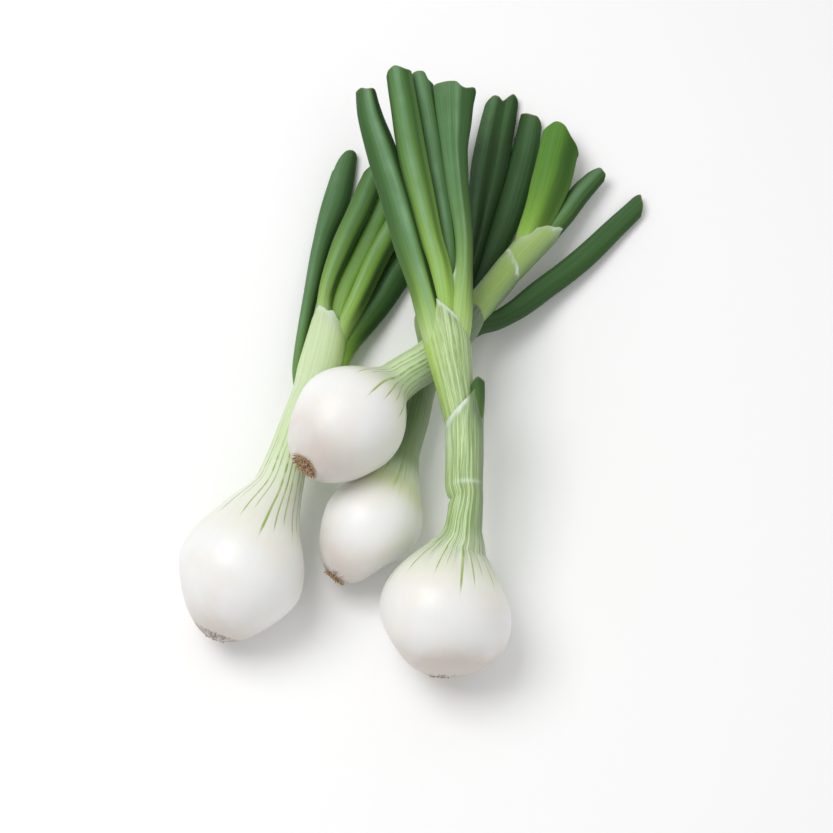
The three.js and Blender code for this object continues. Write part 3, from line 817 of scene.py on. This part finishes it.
class Finish(Nodes):
    """A material under construction."""

    def __init__(self, name):
        self.material = bpy.data.materials.new(name)
        self.material.use_nodes = True
        super().__init__(self.material.node_tree)
        self.shader = self.tree.nodes["Principled BSDF"]
        self.place = self.add("ShaderNodeTexCoord", {}, "Object")

    def mark(self, name, output="Fac"):
        return self.add("ShaderNodeAttribute", {}, output, attribute_name=name)

    def between(self, value, low, high, to_low=0.0, to_high=1.0):
        """A value between low and high, turned smoothly into one between to_low and to_high."""
        inputs = {"Value": value, "From Min": low, "From Max": high, "To Min": to_low, "To Max": to_high}
        return self.add("ShaderNodeMapRange", inputs, interpolation_type="SMOOTHSTEP")

    def mix(self, share, a, b):
        return self.add("ShaderNodeMix", {0: share, 6: a, 7: b}, 2, data_type="RGBA")

    def noise(self, vector, scale, detail=2.0, roughness=0.5, stretch=(1, 1, 1)):
        placed = self.add("ShaderNodeMapping", {"Vector": vector, "Scale": stretch})
        inputs = {"Vector": placed, "Scale": scale, "Detail": detail, "Roughness": roughness}
        return self.add("ShaderNodeTexNoise", inputs)

    def bump(self, height, distance, strength):
        return self.add("ShaderNodeBump", {"Height": height, "Distance": distance, "Strength": strength})

    def done(self, **inputs):
        names = {
            "color": "Base Color", "rough": "Roughness", "normal": "Normal", "gloss": "Specular IOR Level",
            "glow": "Subsurface Weight", "glow_radius": "Subsurface Radius", "glow_scale": "Subsurface Scale",
        }
        for key, value in inputs.items():
            self.give(self.shader.inputs[names[key]], value)
        return self.material


def lines_along(f, turn, girth, count, wander):
    """How many millimetres off the nearest of some lines along a stem a place is, and that line's luck."""
    lane = f.plus(f.times(turn, count), wander)
    number = f.maths("FLOORED_MODULO", f.maths("FLOOR", lane), count)
    luck = f.add("ShaderNodeTexWhiteNoise", {"W": number}, "Value", noise_dimensions="1D")
    drift = f.times(f.less(luck, 0.5), LINE_DRIFT)
    off = f.maths("ABSOLUTE", f.less(f.less(f.maths("FRACT", lane), 0.5), drift))
    return f.times(off, f.times(girth, 2 * math.pi / count)), luck


def skin_finish(colours, sizes):
    """White bulb skin that turns into a streaked green stem, with yellow-green veins over the shoulder."""
    f = Finish("onion_skin")
    grain = f.mark("grain", "Vector")
    green, tint, veins = f.mark("green"), f.mark("tint"), f.mark("veins")
    clouds = f.noise(f.place, 70, 3)
    hair = f.noise(grain, 26, 3, 0.6, (1, 1, 0.25))
    fine = f.noise(grain, 26, 4, 0.72, (1, 1, 0.2))
    broad = f.noise(grain, 6, 2, 0.5, (1, 1, 0.4))

    # The bulb: cream patches, a tinted root end that also paints shade on its lower end, a blush under the
    # neck and brown hairs round the roots.
    skin = f.mix(f.between(clouds, 0.35, 0.7), colours.skin, colours.skin_warm)
    skin = f.mix(f.between(hair, 0.45, 0.8, 0, 0.25), skin, colours.skin_warm)
    skin = f.mix(f.times(f.mark("root_end"), f.between(clouds, 0.2, 0.7, 0.45, 1)), skin, colours.skin_root)
    skin = f.mix(f.times(f.mark("blush"), f.between(hair, 0.3, 0.7, 0.6, 1)), skin, colours.skin_blush)
    hairs = f.less(f.noise(grain, 32, 3, 0.7, (1, 1, 1.2)), f.between(f.mark("scar"), 0, 1, 0.5, 0))
    skin = f.mix(f.between(hairs, 0.44, 0.54, 0, 0.9), skin, colours.scar)

    # The stem: streaks from deep to pale, then tints of brighter green and of darker green, partly painted
    # shade.
    streak = f.plus(f.between(fine, 0.38, 0.62, 0, 0.7), f.between(broad, 0.38, 0.62, 0, 0.3))
    streak = f.plus(f.plus(f.times(f.less(streak, 0.5), f.mark("contrast")), 0.5), f.mark("light"))
    stem = f.mix(f.between(streak, 0, 0.5), colours.stem_deep, colours.stem)
    stem = f.mix(f.between(streak, 0.4, 1), stem, colours.stem_pale)
    stem = f.mix(f.above_zero(tint), stem, colours.stem_bright)
    # The darker tints are partly painted shade on the shaded sides of stems and mouths.
    stem = f.mix(f.below_zero(tint), stem, colours.stem_dark_and_shade)
    surface = f.mix(f.times(green, f.between(fine, 0.3, 0.7, 0.8, 1)), skin, stem)

    # Veins, which start thin over the shoulder and are dark between the streaks further up.
    turn = f.part(f.add("ShaderNodeUVMap", {}, uv_map="Grown"), "X")
    wander = f.times(f.noise(grain, 2.5, 1, 0.5, (1, 1, 0.8)), VEIN_WANDER)
    off, luck = lines_along(f, turn, f.mark("girth"), float(sizes.vein_count), wander)
    grown = f.between(f.less(f.mark("fan"), f.times(luck, VEIN_STAGGER)), -1, 6)
    half = f.times(grown, f.between(luck, 0.2, 0.9, 0.3, 0.2))
    vein = f.between(f.less(off, half), -0.14, 0.2, 1, 0)
    strength = f.between(green, 0.6, 1, f.between(veins, 0.1, 0.7), veins)
    strength = f.times(f.between(luck, 0.4, 1, 1, 0.7), strength)
    patchy = f.between(f.noise(grain, 8, 2, 0.5, (1, 1, 3)), 0.36, 0.6, 0.35, 1)
    vein = f.times(f.times(vein, grown), strength)
    vein = f.times(vein, f.maths("MAXIMUM", patchy, f.less(1.0, green)))
    ink = f.mix(f.times(f.between(green, 0.4, 1), veins), colours.vein, colours.stem_deep)
    surface = f.mix(f.times(vein, 0.9), surface, ink)

    # The thin whitish edge at a mouth, and pale spots.
    gap = f.plus(f.mark("mouth_gap"), f.between(broad, 0.35, 0.65, -0.6, 1.2))
    film = f.mark("film")
    wide = f.between(film, 0, 1, 1.4, 4.6)
    rim = f.between(gap, f.times(wide, 0.25), wide, f.between(film, 0, 0.8), 0)
    rim = f.times(rim, f.between(f.maths("ABSOLUTE", tint), 0.2, 0.7, 1, 0))
    rim = f.maths("MAXIMUM", rim, f.times(f.mark("pale"), f.between(fine, 0.3, 0.6, 0.5, 1)))
    surface = f.mix(rim, surface, colours.film)

    relief = f.less(f.plus(f.times(hair, 0.5), f.times(fine, green)), f.times(vein, 0.6))
    return f.done(
        color=surface, rough=f.between(green, 0, 1, 0.34, 0.42), normal=f.bump(relief, 0.0003, 0.5),
        gloss=0.4, glow=0.25, glow_radius=(1, 0.85, 0.6), glow_scale=0.003,
    )


def leaf_finish(colours):
    """Green leaf with a waxy bloom and painted highlights, painted shade in its folds, fine ribs, a fresh
    yellow-green base and a dried cut edge.
    """
    f = Finish("leaf")
    grain = f.mark("grain", "Vector")
    band, tone, fresh_and_base_shade = f.mark("band"), f.mark("tone"), f.mark("fresh")
    broad = f.noise(grain, 5, 2, 0.5, (1, 1, 0.3))
    fine = f.noise(grain, 22, 3, 0.6, (1, 1, 0.12))
    clouds = f.noise(f.place, 90, 3)
    fresh = f.times(f.above_zero(fresh_and_base_shade), f.between(broad, 0.25, 0.75, 0.85, 1.1))
    # The bloom also stands for a painted highlight along the ridges.
    bloom_and_highlight = f.times(f.above_zero(band), f.between(clouds, 0.25, 0.75, 0.6, 1.0))

    leaf = f.mix(f.between(broad, 0.35, 0.65), colours.leaf, colours.leaf_deep)
    for share, colour_over in (
        (f.above_zero(tone), colours.leaf_bright),
        # A darker tone is partly painted shade on leaves lying in shadow.
        (f.below_zero(tone), colours.leaf_dark_and_shade),
        (fresh, colours.leaf_fresh),
        # Below zero, the fresh mark paints shade at the base of leaves lying in shadow.
        (f.below_zero(fresh_and_base_shade), colours.leaf_dark_and_shade),
        (f.mark("foot"), colours.leaf_foot),
        (bloom_and_highlight, f.mix(fresh, colours.bloom_and_highlight, colours.fresh_bloom_and_highlight)),
        # Below zero, the bands paint shade in folds, crevices and on shaded sides.
        (f.below_zero(band), colours.leaf_dark_and_shade),
        (f.between(fine, 0.4, 0.65, 0, 0.22), colours.leaf_dark_and_shade),
        (f.mark("inside"), colours.hollow),
        (f.between(f.mark("cut_gap"), 0.15, 1.1, 0.8, 0), colours.cut),
        (f.mark("film"), colours.film),
    ):
        leaf = f.mix(share, leaf, colour_over)
    relief = f.plus(fine, f.times(clouds, 0.3))
    return f.done(
        color=leaf, rough=f.between(clouds, 0.3, 0.7, 0.42, 0.54), normal=f.bump(relief, 0.0002, 0.5),
        gloss=0.22, glow=0.05, glow_radius=(0.4, 1, 0.3), glow_scale=0.002,
    )


def root_finish(colours):
    """Dry brown root ends, some pale and some dark."""
    f = Finish("root")
    fibres, spots = f.noise(f.place, 1100, 2, 0.7), f.noise(f.place, 700, 2, 0.6)
    root = f.mix(f.between(fibres, 0.4, 0.6), colours.root, colours.root_pale)
    root = f.mix(f.between(spots, 0.52, 0.64, 0, 0.8), root, colours.root_dark)
    return f.done(color=root, rough=0.85, normal=f.bump(fibres, 0.0002, 0.6), gloss=0.2)


# ---- roots ----

GOLDEN_ANGLE = 2.39996
ROOT_INPUTS = (
    ("Count", "Int", 90), ("Plate radius", "Float", 0.004), ("Stub radius", "Float", 0.0003),
    ("Stub length", "Float", 0.0024), ("Splay", "Float", 1.1), ("Bend", "Float", 0.0008), ("Seed", "Int", 0),
    ("Finish", "Material", None),
)


def root_tree():
    """Geometry nodes: a corky plate with trimmed, bent root stubs scattered over it and leaning outwards."""
    tree = bpy.data.node_groups.new("Root tuft", "GeometryNodeTree")
    tree.interface.new_socket("Geometry", in_out="INPUT", socket_type="NodeSocketGeometry")
    for label, kind, value in ROOT_INPUTS:
        socket = tree.interface.new_socket(label, in_out="INPUT", socket_type=f"NodeSocket{kind}")
        if value is not None:
            socket.default_value = value
    tree.interface.new_socket("Geometry", in_out="OUTPUT", socket_type="NodeSocketGeometry")
    given = tree.nodes.new("NodeGroupInput").outputs
    n = Nodes(tree)

    def shaken(geometry, scale, detail, reach):
        """The geometry with its points moved by noise, up to about half the reach."""
        noise = {"Vector": n.add("GeometryNodeInputPosition"), "Scale": scale, "Detail": detail}
        wave = n.vector("SUBTRACT", n.add("ShaderNodeTexNoise", noise, "Color"), (0.5, 0.5, 0.5))
        return n.add("GeometryNodeSetPosition", {"Geometry": geometry, "Offset": n.scaled(wave, reach)})

    # Places in a spiral over the plate.
    index = n.add("GeometryNodeInputIndex")
    reach = n.times(n.maths("SQRT", n.maths("DIVIDE", index, given["Count"])), given["Plate radius"])
    angle = n.times(index, GOLDEN_ANGLE)
    sides = {"X": n.times(reach, n.maths("COSINE", angle)), "Y": n.times(reach, n.maths("SINE", angle))}
    limits = {"Min": (-0.0003, -0.0003, -0.0003), "Max": (0.0003, 0.0003, 0), "Seed": given["Seed"]}
    jitter = n.add("FunctionNodeRandomValue", limits, data_type="FLOAT_VECTOR")
    spot = n.vector("ADD", n.add("ShaderNodeCombineXYZ", sides), jitter)
    points = n.add("GeometryNodePoints", {"Count": given["Count"], "Position": spot})

    # One stub, a metre high and wide, that narrows to its end.
    rail = n.add("GeometryNodeCurvePrimitiveLine", {"Start": (0, 0, 0), "End": (0, 0, 1)})
    rail = n.add("GeometryNodeResampleCurve", {"Curve": rail, "Count": 6})
    height = n.part(n.add("GeometryNodeInputPosition"), "Z")
    narrowed = {"Curve": rail, "Radius": n.less(1.0, n.times(height, 0.45))}
    stub = n.add("GeometryNodeCurveToMesh", {
        "Curve": n.add("GeometryNodeSetCurveRadius", narrowed),
        "Profile Curve": n.add("GeometryNodeCurvePrimitiveCircle", {"Resolution": 6, "Radius": 1.0}),
        "Scale": n.add("GeometryNodeInputRadius"),
        "Fill Caps": True,
    })

    # A stub on each place, leaning outwards and bent further the higher it is.
    lean = n.scaled(spot, n.maths("DIVIDE", given["Splay"], given["Plate radius"]))
    lean = n.vector("ADD", lean, (0, 0, 1))
    aim = n.add("FunctionNodeAlignRotationToVector", {"Vector": lean}, axis="Z")
    share = n.add("FunctionNodeRandomValue", {2: 0.45, 3: 1.0, "Seed": given["Seed"]}, 1, data_type="FLOAT")
    size = {"X": given["Stub radius"], "Y": given["Stub radius"], "Z": n.times(share, given["Stub length"])}
    stubs = n.add("GeometryNodeInstanceOnPoints", {
        "Points": points, "Instance": stub, "Rotation": aim, "Scale": n.add("ShaderNodeCombineXYZ", size),
    })
    stubs = n.add("GeometryNodeRealizeInstances", {"Geometry": stubs})
    rise = n.maths("DIVIDE", n.part(n.add("GeometryNodeInputPosition"), "Z"), given["Stub length"])
    stubs = shaken(stubs, 420.0, 1.0, n.times(n.times(rise, given["Bend"]), 4.0))

    # The plate.
    wide, thick = n.times(given["Plate radius"], 1.04), n.times(given["Plate radius"], 0.16)
    size = n.add("ShaderNodeCombineXYZ", {"X": wide, "Y": wide, "Z": thick})
    plate = n.add("GeometryNodeMeshUVSphere", {"Segments": 24, "Rings": 12, "Radius": 1.0})
    plate = shaken(n.add("GeometryNodeTransform", {"Geometry": plate, "Scale": size}), 700.0, 2.0, 0.0008)

    joined = tree.nodes.new("GeometryNodeJoinGeometry")
    for geometry in (stubs, plate):
        tree.links.new(geometry, joined.inputs[0])
    whole = n.add("GeometryNodeSetShadeSmooth", {"Geometry": joined.outputs[0]})
    whole = n.add("GeometryNodeRealizeInstances", {"Geometry": whole})
    whole = n.add("GeometryNodeSetMaterial", {"Geometry": whole, "Material": given["Finish"]})
    tree.links.new(whole, tree.nodes.new("NodeGroupOutput").inputs[0])
    return tree


def build_roots(name, onion, seed, tree, material, sizes):
    """The tuft of trimmed roots in the hollow at the bulb's end."""
    root, centre, _, plate, _ = onion["bulb"]
    seedling = new_object("seedling", bpy.data.meshes.new("seedling"))
    modifier = seedling.modifiers.new("Root tuft", "NODES")
    modifier.node_group = tree
    identifiers = {item.name: item.identifier for item in tree.interface.items_tree if item.in_out == "INPUT"}
    measures = {
        "Count": sizes.root_count, "Plate radius": (plate - PLATE_GAP) * MM, "Stub radius": sizes.root_radius,
        "Stub length": sizes.root_length * onion["tuft"], "Splay": sizes.root_splay, "Seed": seed,
        "Finish": material,
    }
    for label, value in measures.items():
        modifier[identifiers[label]] = value
    bpy.context.view_layer.update()
    grown = seedling.evaluated_get(bpy.context.evaluated_depsgraph_get())
    mesh = bpy.data.meshes.new_from_object(grown)
    bpy.data.objects.remove(seedling)
    outward = (Vector(root) - Vector(centre)).normalized()
    turn = outward.to_track_quat("Z", "Y").to_matrix().to_4x4()
    floor = (Vector(root) - outward * ROOT_FLOOR - Vector(BUNCH_CENTRE)) * MM
    mesh.transform(Matrix.Translation(floor) @ turn)
    for vertex in mesh.vertices:
        vertex.co.z = max(vertex.co.z, TABLE)
    mesh.update()
    mesh.name = f"{name}_roots"
    return new_object(f"{name}_roots", mesh)


# ---- settings ----


def colour(name, description, value):
    limits = {"size": 3, "min": 0, "max": 1}
    return FloatVectorProperty(name=name, description=description, default=value, subtype="COLOR", **limits)


def number(name, description, value, **kind):
    return FloatProperty(name=name, description=description, default=value, min=0, **kind)


def length(name, description, value):
    return number(name, description, value, unit="LENGTH", subtype="DISTANCE")


class OnionSizes(bpy.types.PropertyGroup):
    """Sizes of the parts that are alike on every onion."""

    sheath_wall: length("Sheath wall", "Thickness of a stem sheath at its mouth", 0.0005)
    leaf_wall: length("Leaf wall", "Thickness of a leaf's wall at its cut", 0.0009)
    hollow_depth: length("Hollow depth", "How far the hollow of a cut leaf is open", 0.012)
    vein_count: IntProperty(name="Veins", description="Veins round the neck of each bulb", default=26, min=1)
    root_count: IntProperty(name="Roots", description="Trimmed roots on each bulb", default=260, min=1)
    root_radius: length("Root radius", "Radius of a root where it was trimmed", 0.00023)
    root_length: length("Root length", "Longest trimmed root", 0.0026)
    root_splay: number("Root splay", "Outward lean of the roots at the rim", 1.3)


class OnionColours(bpy.types.PropertyGroup):
    """Colours of skins, leaves and roots."""

    skin: colour("Skin", "White of the bulbs", (0.86, 0.86, 0.85))
    skin_warm: colour("Warm skin", "Cream patches of the bulbs", (0.85, 0.83, 0.79))
    # Partly the real tint round the roots, partly painted shade on the bulb's lower end.
    skin_root: colour("Root end", "Tint round the roots", (0.64, 0.58, 0.53))
    skin_blush: colour("Neck blush", "Yellow-green of the skin under the neck", (0.62, 0.66, 0.34))
    scar: colour("Root scar", "Brown hairs on the skin round the roots", (0.12, 0.07, 0.04))
    stem: colour("Stem", "Green between the streaks of a stem", (0.34, 0.51, 0.16))
    stem_pale: colour("Pale streaks", "Pale streaks of a stem", (0.63, 0.77, 0.45))
    stem_deep: colour("Deep streaks", "Dark streaks of a stem", (0.14, 0.26, 0.04))
    stem_bright: colour("Bright stem", "Yellow-green of a young sheath", (0.36, 0.55, 0.07))
    # Also painted shade on the shaded sides of stems.
    stem_dark_and_shade: colour("Dark stem", "Green of an older stem", (0.07, 0.14, 0.035))
    vein: colour("Vein", "Veins over the shoulder of a bulb", (0.28, 0.42, 0.03))
    film: colour("Film", "Thin edge of a sheath", (0.72, 0.8, 0.68))
    leaf: colour("Leaf", "Main green of the leaves", (0.085, 0.19, 0.065))
    leaf_deep: colour("Deep leaf", "Second green of the leaves", (0.06, 0.15, 0.04))
    leaf_fresh: colour("Fresh leaf", "Yellow-green at the base of a leaf", (0.31, 0.53, 0.065))
    leaf_foot: colour("Leaf foot", "Pale green where a leaf leaves its sheath", (0.5, 0.66, 0.28))
    leaf_bright: colour("Bright leaf", "Green of a young leaf", (0.1, 0.27, 0.02))
    # Also painted shade in folds, crevices and on leaves lying in shadow.
    leaf_dark_and_shade: colour("Dark leaf", "Green of an old leaf and of folds", (0.008, 0.035, 0.003))
    # The bloom colours also stand for painted highlights.
    bloom_and_highlight: colour("Bloom", "Waxy bloom along the ridges", (0.2, 0.36, 0.2))
    fresh_bloom_and_highlight: colour("Fresh bloom", "Bloom near the base of a leaf", (0.36, 0.56, 0.26))
    hollow: colour("Hollow", "Inside of a leaf", (0.3, 0.42, 0.16))
    cut: colour("Cut edge", "Dried edge of a cut leaf", (0.22, 0.2, 0.08))
    root: colour("Root", "Main brown of the roots", (0.44, 0.29, 0.17))
    root_pale: colour("Pale root", "Pale root ends", (0.7, 0.54, 0.36))
    root_dark: colour("Dark root", "Dark root ends", (0.16, 0.09, 0.045))


class OnionStage(bpy.types.PropertyGroup):
    """Table, light and camera."""

    table: colour("Table", "Colour of the table", (0.97, 0.97, 0.97))
    sky: number("Sky", "Strength of the light from all round", 0.56)
    key: number("Key", "Power of the main soft light", 5.5, unit="POWER")
    fill: number("Fill", "Power of the fill light", 0.9, unit="POWER")
    lens: number("Lens", "Focal length in millimetres", 85)
    distance: length("Distance", "From the camera to the bunch", 0.76)
    height: number("Height angle", "Camera above the table", math.radians(63), subtype="ANGLE")


# ---- operators ----


def bunch():
    """Each onion's name, measures and seed."""
    return [(name, onion, seed) for seed, (name, onion) in enumerate(ONIONS.items(), 1)]


class ONIONS_OT_bulbs(bpy.types.Operator):
    """Grow the four bulbs with their necks and sheaths"""

    bl_idname = "onions.bulbs"
    bl_label = "Bulbs and Stems"

    def execute(self, context):
        sizes = context.scene.onion_sizes
        finish = skin_finish(context.scene.onion_colours, sizes)
        for name, onion, seed in bunch():
            node = f"{name}_onion_bulb_and_stem"
            settle(build_bulb(name, onion, seed, sizes), finish, "onion_skin", node)
            for index, sheath in enumerate(onion["sheaths"]):
                piece = build_sheath(f"{name}_sheath_{index + 1}", sheath, SEEDS_EACH * seed + index, sizes)
                settle(piece, finish, "onion_skin", node)
        return {"FINISHED"}


class ONIONS_OT_leaves(bpy.types.Operator):
    """Grow the cut leaves"""

    bl_idname = "onions.leaves"
    bl_label = "Leaves"

    def execute(self, context):
        sizes = context.scene.onion_sizes
        finish = leaf_finish(context.scene.onion_colours)
        for name, onion, seed in bunch():
            for index, (part, leaf) in enumerate(onion["leaves"].items()):
                piece = build_leaf(f"{name}_{part}", leaf, SEEDS_EACH * seed + index, sizes)
                settle(piece, finish, "leaf", f"{name}_onion_{part}")
        return {"FINISHED"}


class ONIONS_OT_roots(bpy.types.Operator):
    """Set the trimmed roots into the bulbs"""

    bl_idname = "onions.roots"
    bl_label = "Roots"

    def execute(self, context):
        finish = root_finish(context.scene.onion_colours)
        tree = root_tree()
        for name, onion, seed in bunch():
            piece = build_roots(name, onion, seed, tree, finish, context.scene.onion_sizes)
            settle(piece, finish, "roots", f"{name}_onion_roots")
        return {"FINISHED"}


class ONIONS_OT_stage(bpy.types.Operator):
    """Lay the table, hang the lights and set the camera"""

    bl_idname = "onions.stage"
    bl_label = "Stage"

    def execute(self, context):
        scene, stage = context.scene, context.scene.onion_stage
        mesh = bpy.data.meshes.new("table")
        corners = [(-1, -1), (1, -1), (1, 1), (-1, 1)]
        corners = [(x * TABLE_REACH, y * TABLE_REACH, -TABLE_DROP) for x, y in corners]
        mesh.from_pydata(corners, [], [(0, 1, 2, 3)])
        f = Finish("table")
        clouds = f.between(f.noise(f.place, 3), 0.2, 0.8, 0, 0.04)
        shade = f.mix(clouds, tuple(stage.table), TABLE_CLOUDS)
        mesh.materials.append(f.done(color=shade, rough=0.8, gloss=0.2))
        table = new_object("table", mesh)

        world = bpy.data.worlds.new("studio")
        world.use_nodes = True
        light = world.node_tree.nodes["Background"].inputs
        light["Color"].default_value = (1, 1, 1, 1)
        light["Strength"].default_value = stage.sky
        scene.world = world
        for name, (place, size) in LAMPS.items():
            lamp = bpy.data.lights.new(name, "AREA")
            lamp.energy, lamp.size = getattr(stage, name), size
            holder = new_object(name, lamp)
            holder.location = place
            holder.rotation_euler = (-Vector(place)).to_track_quat("-Z", "Y").to_euler()

        lens = bpy.data.cameras.new("camera")
        lens.lens, lens.sensor_width = stage.lens, SENSOR_WIDTH
        camera = new_object("camera", lens)
        towards = Vector((0, math.cos(stage.height), -math.sin(stage.height)))
        aim = Vector((-BUNCH_CENTRE[0], -BUNCH_CENTRE[1], AIM_HEIGHT)) * MM
        camera.location = aim - towards * stage.distance
        camera.rotation_euler = towards.to_track_quat("-Z", "Y").to_euler()
        scene.camera = camera
        scene.view_settings.view_transform = "Standard"
        return {"FINISHED"}


class ONIONS_PT_panel(bpy.types.Panel):
    """Lists the settings and the steps"""

    bl_label = "Spring Onions"
    bl_idname = "ONIONS_PT_panel"
    bl_space_type = "VIEW_3D"
    bl_region_type = "UI"
    bl_category = "Spring Onions"

    def draw(self, context):
        for group in (context.scene.onion_sizes, context.scene.onion_colours, context.scene.onion_stage):
            box = self.layout.box()
            for key in group.__annotations__:
                box.prop(group, key)
        for operator in OPERATORS:
            self.layout.operator(operator.bl_idname)


GROUPS = {"onion_sizes": OnionSizes, "onion_colours": OnionColours, "onion_stage": OnionStage}
OPERATORS = (ONIONS_OT_stage, ONIONS_OT_bulbs, ONIONS_OT_leaves, ONIONS_OT_roots)


def register():
    for cls in (*GROUPS.values(), *OPERATORS, ONIONS_PT_panel):
        bpy.utils.register_class(cls)
    for name, group in GROUPS.items():
        setattr(bpy.types.Scene, name, PointerProperty(type=group))


def unregister():
    for name in GROUPS:
        delattr(bpy.types.Scene, name)
    for cls in reversed((*GROUPS.values(), *OPERATORS, ONIONS_PT_panel)):
        bpy.utils.unregister_class(cls)


def main():
    register()
    bpy.ops.onions.stage()
    bpy.ops.onions.bulbs()
    bpy.ops.onions.leaves()
    bpy.ops.onions.roots()


if __name__ == "__main__":
    main()
